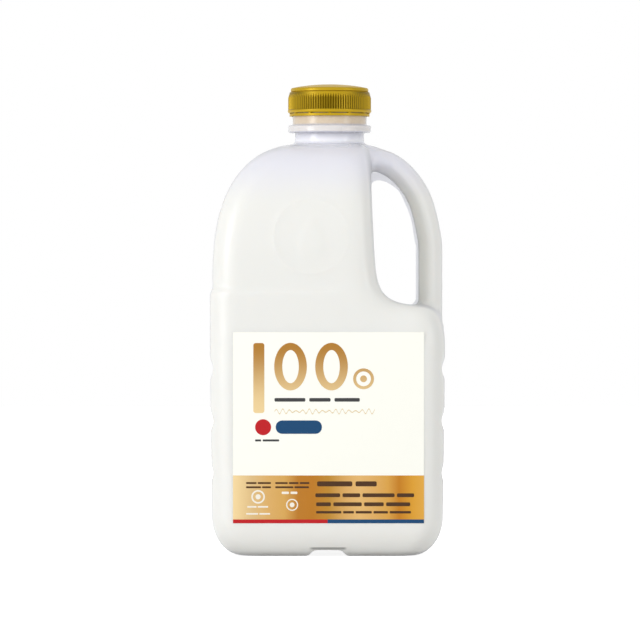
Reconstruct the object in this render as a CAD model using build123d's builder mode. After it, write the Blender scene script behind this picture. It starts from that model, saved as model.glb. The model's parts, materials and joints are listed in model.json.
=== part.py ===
"""Two-litre plastic milk jug with a side handle and a ribbed screw cap.

The jug is a blow-moulded bottle: a straight trunk with rounded corners, a domed shoulder that
stands a little inside the trunk, and a hollow handle that follows the dome's outline down to a
deck. The shoulder is pinched in behind the handle to leave a gap for the fingers. Milk fills the
jug to just under the top of the shoulder, a film label lies flush in the front, and the cap
screws down on the neck.

Frame: +Z up, X across the front with the handle at +X, the front with the label facing -Y.
The origin is the middle of the base, on the surface that the jug stands on. Millimetres.
"""

from build123d import *

import os
from math import cos, pi, radians, sin, sqrt

# Trunk
trunk_half_width = 59.0
trunk_half_depth = 54.2
trunk_corner = 12.0
trunk_top_round = 0.8
trunk_foot_draw = 1.0
trunk_full_height = 95.0
wall = 0.8

# Base: how far the sides draw in, and over what height
base_draw_x = 15.5
base_rise_x = 20.0
base_draw_y = 10.0
base_rise_y = 15.0
base_steps = 6
channel_floor_width = 19.0
channel_roof_width = 14.4
channel_height = 3.0

# Side grooves
groove_count = 3
groove_lowest = 41.6
groove_pitch = 26.1
groove_radius = 8.0
groove_depth = 1.7

# Shoulder: a straight part, then a superellipse up to the flat crown round the neck
shoulder_step = 1.2
shoulder_foot_depth = 20.0
shoulder_corner = 13.0
corner_limit = 0.85
dome_rise = 65.8
dome_power = 2.45
dome_crown = 10.0
dome_shares = [-0.2, -0.1, 0, 0.1, 0.2, 0.32, 0.45, 0.57, 0.68, 0.78, 0.86, 0.92, 0.96, 0.985, 0.996, 1]

# Pinched side behind the handle, and the deck under the gap
pinch_low_x = 24.3
pinch_top_x = 22.0
pinch_bend = 16.0
pinch_round = 8.0
deck_height = 126.0
ledge_start = 10.0
ledge_run = 26.0
ledge_rise = 6.8
ledge_drop = 9.5

# Handle
handle_inset = 0.5
handle_thickness = 12.2
handle_depth = 24.0
handle_sink = 0.15
handle_foot_depth = 14.0
handle_angles = [90, 75, 60, 45, 30, 15, 0]

# Flash round the gap, in the parting plane
lip_height = 1.3
lip_thickness = 1.0
lip_shares = [0.28, 0.36, 0.44, 0.52, 0.6, 0.68]
lip_corner_drop = 23.8
lip_foot_round = 3.6
lip_root = 2.0

# Neck
neck_x = 1.1
neck_radius = 17.5
neck_wall = 1.6
neck_foot_depth = 6.0
neck_flare = 2.0
neck_flare_sink = 0.5
neck_low_height = 5.4
ring_reach = 2.3
ring_thickness = 3.8
ring_round = 1.2
finish_radius = 18.8
finish_height = 17.0

# Cap
cap_clearance = 0.3
cap_wall = 1.9
cap_skirt_height = 12.4
cap_top_thickness = 3.8
cap_crown_fall = 2.0
cap_crown_flat = 1.5
cap_crown_inset = 1.3
cap_crown_height = 4.0
cap_crown_round = 1.0
cap_groove_depth = 0.4
cap_groove_height = 0.5
cap_taper = 0.8
cap_taper_height = 3.0
cap_bead_height = 1.7
cap_bead_bulge = 0.2
cap_rib_count = 100
cap_rib_depth = 0.7
band_inset = 0.7
band_height = 1.3
slit_height = 0.4
bridge_count = 12
bridge_width = 1.2

# Emblem on the shoulder: a plain ring round a drop
emblem_x = -8.0
emblem_rise = 18.4
emblem_radius = 19.5
emblem_line = 1.2
emblem_height = 0.4
drop_radius = 6.5
drop_length = 20.0

# Label
label_width = 95.5
label_height = 95.6
label_x = 0.5
label_bottom = 16.7
label_thickness = 0.25
label_gap = 0.1

# Milk
headspace = 19.8

# Levels and radii that follow from the sizes above
trunk_top = deck_height + ledge_rise
ledge_low = deck_height - ledge_drop
dome_start = deck_height + pinch_bend
shoulder_foot = deck_height - shoulder_foot_depth
handle_foot = deck_height - handle_foot_depth
shoulder_top = dome_start + dome_rise
emblem_z = dome_start + emblem_rise
milk_level = shoulder_top - headspace
neck_foot = shoulder_top - neck_foot_depth
neck_flare_bottom = shoulder_top - neck_flare_sink
ring_bottom = shoulder_top + neck_low_height
ring_top = ring_bottom + ring_thickness
ring_radius = finish_radius + ring_reach
neck_top = ring_top + finish_height
cap_bore = finish_radius + cap_clearance
cap_radius = cap_bore + cap_wall
cap_crown_radius = cap_radius - cap_crown_inset
cap_bottom = neck_top - cap_skirt_height
cap_skirt_bottom = cap_bottom + band_height + slit_height
cap_bead_top = cap_skirt_bottom + cap_bead_height
cap_top = neck_top + cap_top_thickness
cap_crown_bottom = cap_top - cap_crown_height


def dome_across(up):
    """Share of the dome's reach that is left at a share of its rise."""
    return (1 - max(up, 0) ** dome_power) ** (1 / dome_power)


def dome_point(angle, inset):
    """X and Z of the handle's outline at an angle, moved in by the inset."""
    up = sin(radians(angle)) ** (2 / dome_power)
    reach = trunk_half_width - handle_inset - dome_crown - inset
    x = neck_x * up + dome_crown + reach * dome_across(min(up, 1))
    return x, dome_start + (dome_rise - inset) * up


def rounded_section(middle, half_width, half_depth, corner, height):
    """A face at a height: a rectangle with rounded corners."""
    with BuildSketch(Plane.XY.offset(height)) as section:
        with Locations((middle, 0)):
            RectangleRounded(2 * half_width, 2 * half_depth, corner)
    return section.sketch


def base_draw(z, draw, rise):
    """How far a side has drawn in at a height above the base."""
    if z >= rise:
        return 0.0
    return draw * (1 - sqrt(1 - ((rise - z) / rise) ** 2))


def crosses_top(edge):
    """Whether an edge runs from front to back across the top, not along its rim."""
    box = edge.bounding_box()
    level = box.size.X < 0.01 and box.size.Z < 0.01
    return level and abs(box.max.X) < trunk_half_width - trunk_corner / 2


def make_trunk(inset):
    """The straight lower body, with its base, ledge and side grooves."""
    half_depth = trunk_half_depth - inset
    corner = trunk_corner - inset
    foot_width = trunk_half_width - trunk_foot_draw - inset
    sections = []
    for step in range(base_steps + 1):
        z = base_rise_x * (1 - cos(radians(90 * step / base_steps)))
        width = foot_width - base_draw(z, base_draw_x, base_rise_x)
        depth = half_depth - base_draw(z, base_draw_y, base_rise_y)
        height = inset + z * (base_rise_x - inset) / base_rise_x
        sections.append(rounded_section(0, width, depth, corner, height))
    full = rounded_section(0, trunk_half_width - inset, half_depth, corner, trunk_full_height)
    top = trunk_top - inset
    low = ledge_low - inset
    outside = 2 * trunk_half_width
    middle = (ledge_start + ledge_run / 2, (top + low) / 2)
    with BuildPart() as trunk:
        loft(sections=sections)
        loft(sections=[sections[-1], full], ruled=True)
        add(full)
        extrude(amount=top - trunk_full_height)
        with BuildSketch(Plane.XZ.offset(-outside)):
            with BuildLine():
                falling = TangentArc((ledge_start, top), middle, tangent=(1, 0))
                TangentArc(middle, (ledge_start + ledge_run, low), tangent=falling % 1)
                Polyline((ledge_start + ledge_run, low), (outside, low), (outside, top), (ledge_start, top))
            make_face()
        extrude(amount=2 * outside, mode=Mode.SUBTRACT)
        rim = trunk.edges().filter_by(lambda edge: edge.bounding_box().min.Z > low - 0.01)
        fillet(rim.filter_by(lambda edge: not crosses_top(edge)), trunk_top_round)
        groove_x = trunk_half_width - groove_depth + groove_radius
        for row in range(groove_count):
            with BuildSketch(Plane.XZ.offset(-outside)):
                with Locations((0, groove_lowest + row * groove_pitch)):
                    with GridLocations(2 * groove_x, 0, 2, 1):
                        Circle(groove_radius + inset)
            extrude(amount=2 * outside, mode=Mode.SUBTRACT)
        roof = channel_height + inset
        with BuildSketch(Plane.XZ.offset(-outside)):
            with BuildLine():
                Polyline(
                    (-channel_floor_width / 2 - inset, 0),
                    (-channel_roof_width / 2 - inset, roof),
                    (channel_roof_width / 2 + inset, roof),
                    (channel_floor_width / 2 + inset, 0),
                    close=True,
                )
            make_face()
        extrude(amount=2 * outside, mode=Mode.SUBTRACT)
    return trunk.part


def corner_section(left, right, half_depth, left_corner, right_corner, height):
    """A face at a height: a rectangle with one corner radius on its left and one on its right."""
    with BuildSketch(Plane.XY.offset(height)) as section:
        with Locations(((left + right) / 2, 0)):
            Rectangle(right - left, 2 * half_depth)
        fillet(section.vertices().group_by(Axis.X)[0], left_corner)
        fillet(section.vertices().group_by(Axis.X)[-1], right_corner)
    return section.sketch


def make_deck(inset):
    """The shoulder's straight part, with the deck, and the bend up into the pinched side."""
    far = 2 * trunk_half_width
    half_width = trunk_half_width - shoulder_step - inset
    half_depth = trunk_half_depth - shoulder_step - inset
    corner = shoulder_corner - inset
    wall_x = pinch_low_x - inset
    deck = deck_height - inset
    plan = rounded_section(0, half_width, half_depth, corner, shoulder_foot)
    with BuildPart() as block:
        add(plan)
        extrude(amount=dome_start - shoulder_foot)
        with BuildSketch(Plane.XZ.offset(-far)):
            with BuildLine():
                RadiusArc((wall_x, dome_start), (wall_x + dome_start - deck, deck), -(dome_start - deck))
                Polyline(
                    (wall_x + dome_start - deck, deck),
                    (far, deck),
                    (far, dome_start),
                    (wall_x, dome_start),
                )
            make_face()
        extrude(amount=2 * far, mode=Mode.SUBTRACT)
        rim = block.edges(Select.LAST).filter_by(lambda edge: edge.bounding_box().min.Z > deck - 0.01)
        rim = rim.filter_by(lambda edge: edge.bounding_box().max.X > wall_x + 0.01)
        fillet(rim.filter_by(lambda edge: not crosses_top(edge)), pinch_round - inset)
    return block.part


def make_dome(inset):
    """The domed part of the shoulder, with its pinched side."""
    top = dome_start + dome_rise - inset
    edge_round = pinch_round - inset
    sections = []
    for up in dome_shares:
        across = dome_across(up)
        height = dome_start + (dome_rise - inset) * up
        reach = trunk_half_width - shoulder_step - dome_crown
        left = neck_x * max(up, 0) - dome_crown - reach * across + inset
        half_depth = dome_crown + (trunk_half_depth - shoulder_step - dome_crown) * across - inset
        right = pinch_top_x + (pinch_low_x - pinch_top_x) * (1 - up) ** 2 - inset
        over = max(height - (top - edge_round), 0)
        right -= edge_round - sqrt(max(edge_round**2 - over**2, 0))
        corner = min(shoulder_corner - inset, corner_limit * half_depth)
        sections.append(corner_section(left, right, half_depth, corner, edge_round, height))
    with BuildPart() as dome:
        loft(sections=sections)
        split(bisect_by=Plane.XY.offset(dome_start), keep=Keep.TOP)
    return dome.part


def handle_route():
    """The handle's centreline: along under the dome's outline, then down into the trunk."""
    middle = handle_thickness / 2 + handle_sink
    points = []
    for angle in handle_angles:
        x, z = dome_point(angle, middle)
        points.append(Vector(x, 0, z))
    with BuildLine() as route:
        Spline(*points, tangents=[(1, 0, 0), (0, 0, -1)])
        Line(points[-1], Vector(points[-1].X, 0, handle_foot))
    return route.line


def make_handle(inset):
    """The handle's tube along its centreline."""
    route = handle_route()
    with BuildPart() as handle:
        add(route)
        with BuildSketch(Plane(origin=route @ 0, x_dir=(0, 1, 0), z_dir=(1, 0, 0))):
            Ellipse(handle_depth / 2 - inset, handle_thickness / 2 - inset)
        sweep(path=route)
    return handle.part


def make_lip():
    """The thin flash round the gap: along the handle's inner side and across its two corners."""
    route = handle_route()
    middle_points = []
    edge_points = []
    for share in lip_shares:
        spot = route @ share
        way = route % share
        reach = handle_thickness / 2 + lip_height
        middle_points.append((spot.X, spot.Z))
        edge_points.append((spot.X + way.Z * reach, spot.Z - way.X * reach))
    start = (pinch_top_x - 0.3, shoulder_top - lip_corner_drop)
    end_x = (route @ 1).X - handle_thickness / 2 - lip_height
    low_right = (end_x, deck_height + lip_foot_round)
    low_left = (end_x - lip_foot_round, deck_height)
    with BuildPart() as lip:
        with BuildSketch(Plane.XZ):
            with BuildLine():
                Spline(start, *edge_points, tangents=[(0, 1), (0, -1)])
                Line(edge_points[-1], low_right)
                RadiusArc(low_right, low_left, lip_foot_round)
                Polyline(
                    low_left,
                    (low_left[0], deck_height - lip_root),
                    ((route @ 1).X, deck_height - lip_root),
                    *reversed(middle_points),
                    (pinch_top_x - lip_root, middle_points[0][1]),
                    (pinch_top_x - lip_root, start[1]),
                    start,
                )
            make_face()
        extrude(amount=lip_thickness / 2, both=True)
    return lip.part


def make_neck():
    """The neck's outside: a flared root, a support ring and the finish under the cap."""
    flare_top = neck_flare_bottom + neck_flare
    with BuildPart() as neck:
        with BuildSketch(Plane.XZ):
            with BuildLine():
                Line((0, neck_foot), (neck_radius + neck_flare, neck_foot))
                Line((neck_radius + neck_flare, neck_foot), (neck_radius + neck_flare, neck_flare_bottom))
                RadiusArc(
                    (neck_radius + neck_flare, neck_flare_bottom), (neck_radius, flare_top), neck_flare
                )
                Polyline(
                    (neck_radius, flare_top),
                    (neck_radius, ring_bottom),
                    (ring_radius, ring_bottom),
                    (ring_radius, ring_top),
                    (finish_radius, ring_top),
                    (finish_radius, neck_top),
                    (0, neck_top),
                    (0, neck_foot),
                )
            make_face()
        revolve(axis=Axis.Z)
        ring_edges = neck.edges().filter_by(GeomType.CIRCLE).filter_by(
            lambda edge: edge.radius > ring_radius - 0.1
        )
        fillet(ring_edges, ring_round)
    return neck.part.moved(Location((neck_x, 0, 0)))


def make_inside():
    """The space inside the jug, one wall's thickness in from its outside."""
    solids = [make_trunk(wall), make_deck(wall), make_dome(wall), make_handle(wall)]
    with BuildPart() as inside:
        add(solids)
        with BuildSketch(Plane.XY.offset(neck_foot)):
            with Locations((neck_x, 0)):
                Circle(neck_radius - neck_wall)
        extrude(amount=neck_top - neck_foot)
    return inside.part


def make_emblem():
    """A raised ring round a drop, over the front of the dome."""
    tip = drop_length - drop_radius
    spread = sqrt(tip**2 - drop_radius**2) * drop_radius / tip
    rise = drop_radius**2 / tip
    centre = emblem_z - (drop_length - 2 * drop_radius) / 2
    cover = make_dome(-emblem_height)
    with BuildPart() as emblem:
        with BuildSketch(Plane.XZ):
            with Locations((emblem_x, emblem_z)):
                Circle(emblem_radius)
                Circle(emblem_radius - emblem_line, mode=Mode.SUBTRACT)
            with BuildLine():
                Polyline(
                    (emblem_x - spread, centre + rise),
                    (emblem_x, centre + tip),
                    (emblem_x + spread, centre + rise),
                )
                ThreePointArc(
                    (emblem_x + spread, centre + rise),
                    (emblem_x, centre - drop_radius),
                    (emblem_x - spread, centre + rise),
                )
            make_face()
        extrude(amount=2 * trunk_half_depth)
        add(cover, mode=Mode.INTERSECT)
    return emblem.part


inside = make_inside()
outside_solids = [make_trunk(0), make_deck(0), make_dome(0), make_handle(0), make_lip(), make_neck()]
emblem = make_emblem()

with BuildPart() as jug:
    add(outside_solids)
    add(emblem)
    add(inside, mode=Mode.SUBTRACT)
    with BuildSketch(Plane.XZ.offset(trunk_half_depth - label_thickness)):
        with Locations((label_x, label_bottom + label_height / 2)):
            Rectangle(label_width + 2 * label_gap, label_height + 2 * label_gap)
    extrude(amount=2 * label_thickness, mode=Mode.SUBTRACT)
jug.part.label = "jug"

with BuildPart() as milk:
    add(inside)
    split(bisect_by=Plane.XY.offset(milk_level), keep=Keep.BOTTOM)
milk.part.label = "milk"

with BuildPart() as label:
    with BuildSketch(Plane.XZ.offset(trunk_half_depth - label_thickness)):
        with Locations((label_x, label_bottom + label_height / 2)):
            Rectangle(label_width, label_height)
    extrude(amount=label_thickness)
label.part.label = "label"

with BuildPart() as ribs:
    with BuildSketch(Plane.XY.offset(cap_bead_top)):
        Circle(cap_radius + 1)
        with BuildLine():
            star = []
            for step in range(2 * cap_rib_count):
                reach = cap_radius + 0.05 - cap_rib_depth * (step % 2)
                turn = pi * step / cap_rib_count
                star.append((reach * cos(turn), reach * sin(turn)))
            Polyline(*star, close=True)
        make_face(mode=Mode.SUBTRACT)
    extrude(amount=cap_crown_bottom - cap_bead_top)

with BuildPart() as slit:
    with BuildSketch(Plane.XY.offset(cap_bottom + band_height)):
        Circle(cap_radius + 1)
        Circle(cap_bore - 0.5, mode=Mode.SUBTRACT)
        with PolarLocations((cap_bore + cap_radius) / 2, bridge_count):
            Rectangle(cap_radius - cap_bore + 3, bridge_width, mode=Mode.SUBTRACT)
    extrude(amount=slit_height)

with BuildPart() as cap:
    with BuildSketch(Plane.XZ):
        with BuildLine():
            Line((0, cap_top), (cap_crown_flat, cap_top))
            crown_reach = cap_crown_radius - cap_crown_flat
            crown_curve = (crown_reach**2 + cap_crown_fall**2) / (2 * cap_crown_fall)
            RadiusArc((cap_crown_flat, cap_top), (cap_crown_radius, cap_top - cap_crown_fall), crown_curve)
            Polyline(
                (cap_crown_radius, cap_top - cap_crown_fall),
                (cap_crown_radius, cap_crown_bottom + cap_groove_height),
                (cap_crown_radius - cap_groove_depth, cap_crown_bottom + cap_groove_height / 2),
                (cap_radius - cap_taper, cap_crown_bottom),
                (cap_radius, cap_crown_bottom - cap_taper_height),
                (cap_radius, cap_bead_top),
            )
            ThreePointArc(
                (cap_radius, cap_bead_top),
                (cap_radius + cap_bead_bulge, (cap_bead_top + cap_skirt_bottom) / 2),
                (cap_radius - cap_bead_bulge, cap_skirt_bottom),
            )
            Polyline(
                (cap_radius - cap_bead_bulge, cap_skirt_bottom),
                (cap_radius - band_inset, cap_skirt_bottom),
                (cap_radius - band_inset, cap_bottom),
                (cap_bore, cap_bottom),
                (cap_bore, neck_top),
                (0, neck_top),
                (0, cap_top),
            )
        make_face()
    revolve(axis=Axis.Z)
    circles = cap.edges().filter_by(GeomType.CIRCLE)
    wide = circles.filter_by(lambda edge: abs(edge.radius - cap_crown_radius) < 0.01)
    crown_edge = wide.sort_by(Axis.Z)[-1]
    fillet(crown_edge, cap_crown_round)
    add(ribs.part, mode=Mode.SUBTRACT)
    add(slit.part, mode=Mode.SUBTRACT)
cap.part.label = "cap"
cap_seated = cap.part.moved(Location((neck_x, 0, 0)))
cap_seated.label = "cap"

os.makedirs("parts", exist_ok=True)
export_step(jug.part, "parts/jug.step")
export_step(milk.part, "parts/milk.step")
export_step(label.part, "parts/label.step")
export_step(cap_seated, "parts/cap.step")
print("milk, litres:", round(milk.part.volume / 1e6, 3))
print("plastic of the jug, cubic centimetres:", round(jug.part.volume / 1e3, 1))
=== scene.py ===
"""Looks of the two-litre plastic milk jug: its milky skin, milk, gold cap and printed film."""

from __future__ import annotations

import json
import logging
import math
from contextlib import contextmanager
from dataclasses import dataclass
from enum import Enum
from typing import Iterator, Sequence

import bmesh
import bpy
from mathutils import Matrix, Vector

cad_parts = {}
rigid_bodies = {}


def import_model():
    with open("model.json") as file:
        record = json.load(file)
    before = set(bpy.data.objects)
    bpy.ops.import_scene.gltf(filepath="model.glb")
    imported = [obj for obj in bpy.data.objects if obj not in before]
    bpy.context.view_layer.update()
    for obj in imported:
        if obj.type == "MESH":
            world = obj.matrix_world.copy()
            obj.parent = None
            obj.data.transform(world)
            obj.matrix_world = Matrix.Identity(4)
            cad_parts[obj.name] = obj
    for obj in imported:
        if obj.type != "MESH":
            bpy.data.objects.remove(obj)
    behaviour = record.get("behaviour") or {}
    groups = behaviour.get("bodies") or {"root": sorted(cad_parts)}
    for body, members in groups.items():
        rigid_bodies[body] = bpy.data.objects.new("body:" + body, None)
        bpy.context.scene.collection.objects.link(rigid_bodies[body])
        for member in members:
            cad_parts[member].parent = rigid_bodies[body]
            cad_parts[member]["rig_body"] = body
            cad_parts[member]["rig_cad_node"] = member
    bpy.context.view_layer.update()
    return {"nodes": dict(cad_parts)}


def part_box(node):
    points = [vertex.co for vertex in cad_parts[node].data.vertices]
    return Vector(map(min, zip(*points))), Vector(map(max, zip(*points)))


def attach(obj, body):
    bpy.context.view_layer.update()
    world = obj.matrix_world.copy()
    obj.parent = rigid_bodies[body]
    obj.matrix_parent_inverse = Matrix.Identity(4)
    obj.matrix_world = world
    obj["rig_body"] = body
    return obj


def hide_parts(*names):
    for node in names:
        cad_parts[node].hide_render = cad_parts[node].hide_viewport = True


LOG = logging.getLogger("milk_jug")
MM = 0.001
BODY = "root"

Colour = tuple[float, float, float]
Span = tuple[float, float]


def srgb(red: int, green: int, blue: int) -> Colour:
    """A colour's linear values from its display values of 0 to 255."""

    def linear(value: float) -> float:
        """One channel's linear value."""
        return value / 12.92 if value <= 0.04045 else ((value + 0.055) / 1.055) ** 2.4

    return linear(red / 255), linear(green / 255), linear(blue / 255)


def deselect_all() -> None:
    """Leave nothing selected and nothing active."""
    bpy.ops.object.select_all(action="DESELECT")
    bpy.context.view_layer.objects.active = None


def activate(piece: bpy.types.Object) -> None:
    """Make a piece the only one selected."""
    deselect_all()
    piece.select_set(True)
    bpy.context.view_layer.objects.active = piece


@contextmanager
def editing(piece: bpy.types.Object, mode: str = "FACE") -> Iterator[bmesh.types.BMesh]:
    """Edit mode on one piece, with nothing selected in it at first.

    Args:
        piece: The mesh to edit.
        mode: The selection mode, VERT, EDGE or FACE.
    """
    activate(piece)
    bpy.ops.object.mode_set(mode="EDIT")
    bpy.ops.mesh.select_mode(type=mode)
    bpy.ops.mesh.select_all(action="DESELECT")
    yield bmesh.from_edit_mesh(piece.data)
    bpy.ops.object.mode_set(mode="OBJECT")


def finish_modifiers(piece: bpy.types.Object) -> None:
    """Apply all of a piece's modifiers in order."""
    activate(piece)
    for modifier in list(piece.modifiers):
        bpy.ops.object.modifier_apply(modifier=modifier.name)


def clean(piece: bpy.types.Object) -> None:
    """Take out a piece's doubled corners and the faces that have no area."""
    with editing(piece, "VERT"):
        bpy.ops.mesh.select_all(action="SELECT")
        bpy.ops.mesh.remove_doubles(threshold=0.001 * MM)
        bpy.ops.mesh.dissolve_degenerate(threshold=0.001 * MM)


def settle(piece: bpy.types.Object) -> None:
    """Put a piece's place, turn and scale into its mesh."""
    activate(piece)
    bpy.ops.object.transform_apply(location=True, rotation=True, scale=True)


def merged_copy(node: bpy.types.Object, name: str) -> bpy.types.Object:
    """A copy of a CAD node whose triangles are joined into one surface.

    Args:
        node: The CAD node to copy.
        name: The copy's name.

    Returns:
        The copy, free of the node's body.
    """
    deselect_all()
    copy = node.copy()
    copy.data = node.data.copy()
    copy.name = name
    copy.data.name = name
    copy.parent = None
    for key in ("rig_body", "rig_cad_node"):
        if key in copy:
            del copy[key]
    bpy.context.scene.collection.objects.link(copy)
    copy.data.materials.clear()
    with editing(copy, "VERT"):
        bpy.ops.mesh.select_all(action="SELECT")
        bpy.ops.mesh.remove_doubles(threshold=0.004 * MM)
        bpy.ops.mesh.customdata_custom_splitnormals_clear()
    return copy


def tuck(piece: bpy.types.Object, slot: str, *nodes: str) -> bpy.types.Object:
    """Let a finished piece ride on the jug's body and stand for its CAD nodes.

    Args:
        piece: The finished piece.
        slot: The record's material slot; not used.
        nodes: The CAD nodes that it replaces.

    Returns:
        The same piece.
    """
    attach(piece, BODY)
    if nodes:
        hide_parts(*nodes)
    LOG.info("%s: %d faces", piece.name, len(piece.data.polygons))
    return piece


class Sheet:
    """A material's node tree, with short ways to add and join nodes."""

    def __init__(self, tree: bpy.types.NodeTree) -> None:
        """Start from a tree."""
        self.tree = tree

    def add(self, kind: str, **values: object) -> bpy.types.Node:
        """Add a node and set its properties.

        Args:
            kind: The node's type.
            values: Its properties by name.
        """
        node = self.tree.nodes.new(kind)
        for name, value in values.items():
            setattr(node, name, value)
        return node

    def join(self, source: bpy.types.NodeSocket, target: bpy.types.NodeSocket) -> None:
        """Join an output to an input."""
        self.tree.links.new(source, target)

    def maths(self, operation: str, first: object, second: object = 0.0) -> bpy.types.NodeSocket:
        """A Math node on two sockets or numbers.

        Returns:
            The node's result.
        """
        node = self.add("ShaderNodeMath", operation=operation)
        for socket, value in zip(node.inputs, (first, second)):
            if isinstance(value, bpy.types.NodeSocket):
                self.join(value, socket)
            else:
                socket.default_value = value
        return node.outputs[0]

    def ramp(self, source: bpy.types.NodeSocket, low: float, high: float) -> bpy.types.NodeSocket:
        """A smooth step from 0 at the low value to 1 at the high value."""
        node = self.add("ShaderNodeMapRange", interpolation_type="SMOOTHSTEP")
        node.inputs["From Min"].default_value = low
        node.inputs["From Max"].default_value = high
        self.join(source, node.inputs["Value"])
        return node.outputs["Result"]

    def reach(
        self, first: bpy.types.NodeSocket, second: bpy.types.NodeSocket, centre: tuple[float, float]
    ) -> bpy.types.NodeSocket:
        """The distance of two coordinates from a centre."""
        squares = []
        for source, middle in zip((first, second), centre):
            offset = self.maths("SUBTRACT", source, middle)
            squares.append(self.maths("MULTIPLY", offset, offset))
        return self.maths("SQRT", self.maths("ADD", *squares))

    def blend(self, share: object, first: object, second: object) -> bpy.types.NodeSocket:
        """A colour mixed from two colours or sockets by a share."""
        node = self.add("ShaderNodeMix", data_type="RGBA")
        inputs = [s for s in node.inputs if s.type == "RGBA"]
        for socket, value in zip([node.inputs[0], *inputs], (share, first, second)):
            if isinstance(value, bpy.types.NodeSocket):
                self.join(value, socket)
            elif isinstance(value, tuple):
                socket.default_value = (*value, 1.0)
            else:
                socket.default_value = value
        return next(s for s in node.outputs if s.type == "RGBA")


def moulding_grain() -> bpy.types.ShaderNodeTree:
    """The fine grain and slow waviness that moulded plastic and film have.

    Returns:
        A group with Position, Grain and Wave sizes in, and Height and Blotch out.
    """
    name = "Moulding Grain"
    if name in bpy.data.node_groups:
        return bpy.data.node_groups[name]
    group = bpy.data.node_groups.new(name, "ShaderNodeTree")
    group.interface.new_socket("Position", in_out="INPUT", socket_type="NodeSocketVector")
    for label, value in (("Grain", 700.0), ("Wave", 40.0), ("Share", 0.3)):
        socket = group.interface.new_socket(label, in_out="INPUT", socket_type="NodeSocketFloat")
        socket.default_value = value
    group.interface.new_socket("Height", in_out="OUTPUT", socket_type="NodeSocketFloat")
    group.interface.new_socket("Blotch", in_out="OUTPUT", socket_type="NodeSocketFloat")
    sheet = Sheet(group)
    inlet = sheet.add("NodeGroupInput")
    outlet = sheet.add("NodeGroupOutput")
    fine = sheet.add("ShaderNodeTexNoise")
    slow = sheet.add("ShaderNodeTexNoise")
    for noise, label, detail in ((fine, "Grain", 3.0), (slow, "Wave", 2.0)):
        sheet.join(inlet.outputs["Position"], noise.inputs["Vector"])
        sheet.join(inlet.outputs[label], noise.inputs["Scale"])
        noise.inputs["Detail"].default_value = detail
    fine_part = sheet.maths("MULTIPLY", fine.outputs["Fac"], inlet.outputs["Share"])
    sheet.join(sheet.maths("ADD", fine_part, slow.outputs["Fac"]), outlet.inputs["Height"])
    sheet.join(slow.outputs["Fac"], outlet.inputs["Blotch"])
    return group


class Finish:
    """A material with a Principled shader, object coordinates and moulding grain."""

    def __init__(self, name: str, colour: Colour, roughness: float) -> None:
        """Start the material.

        Args:
            name: The material's name.
            colour: Its plain colour, until something is joined to it.
            roughness: Its plain roughness.
        """
        self.material = bpy.data.materials.new(name)
        self.material.use_nodes = True
        self.sheet = Sheet(self.material.node_tree)
        self.shader = self.material.node_tree.nodes["Principled BSDF"]
        self.shader.inputs["Base Color"].default_value = (*colour, 1.0)
        self.shader.inputs["Roughness"].default_value = roughness
        self.place = self.sheet.add("ShaderNodeTexCoord").outputs["Object"]
        split = self.sheet.add("ShaderNodeSeparateXYZ")
        self.sheet.join(self.place, split.inputs[0])
        self.x, self.y, self.z = split.outputs
        self.grain = self.sheet.add("ShaderNodeGroup", node_tree=moulding_grain())
        self.sheet.join(self.place, self.grain.inputs["Position"])

    def set(self, **values: float) -> None:
        """Set plain values on the shader, with underscores for spaces in their names."""
        for name, value in values.items():
            self.shader.inputs[name.replace("_", " ")].default_value = value

    def colour(self, socket: bpy.types.NodeSocket) -> None:
        """Drive the base colour."""
        self.sheet.join(socket, self.shader.inputs["Base Color"])

    def bump(self, height: bpy.types.NodeSocket, distance: float) -> None:
        """Drive the normal with a height.

        Args:
            height: The height, 0 to 1.
            distance: How far 1 stands proud, in metres.
        """
        node = self.sheet.add("ShaderNodeBump")
        node.inputs["Distance"].default_value = distance
        self.sheet.join(height, node.inputs["Height"])
        self.sheet.join(node.outputs["Normal"], self.shader.inputs["Normal"])

    def roughness(self, low: float, high: float) -> bpy.types.NodeSocket:
        """Vary the roughness slowly over the surface.

        Returns:
            The roughness, already joined to the shader.
        """
        node = self.sheet.add("ShaderNodeMapRange")
        node.inputs["From Min"].default_value = 0.3
        node.inputs["From Max"].default_value = 0.7
        node.inputs["To Min"].default_value = low
        node.inputs["To Max"].default_value = high
        self.sheet.join(self.grain.outputs["Blotch"], node.inputs["Value"])
        self.sheet.join(node.outputs["Result"], self.shader.inputs["Roughness"])
        return node.outputs["Result"]

    def turned(self, low: float, high: float) -> bpy.types.NodeSocket:
        """A smooth step from 0 where the surface faces the eye to 1 where it is seen edge on."""
        weight = self.sheet.add("ShaderNodeLayerWeight")
        weight.inputs["Blend"].default_value = 0.5
        return self.sheet.ramp(weight.outputs["Facing"], low, high)


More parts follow.
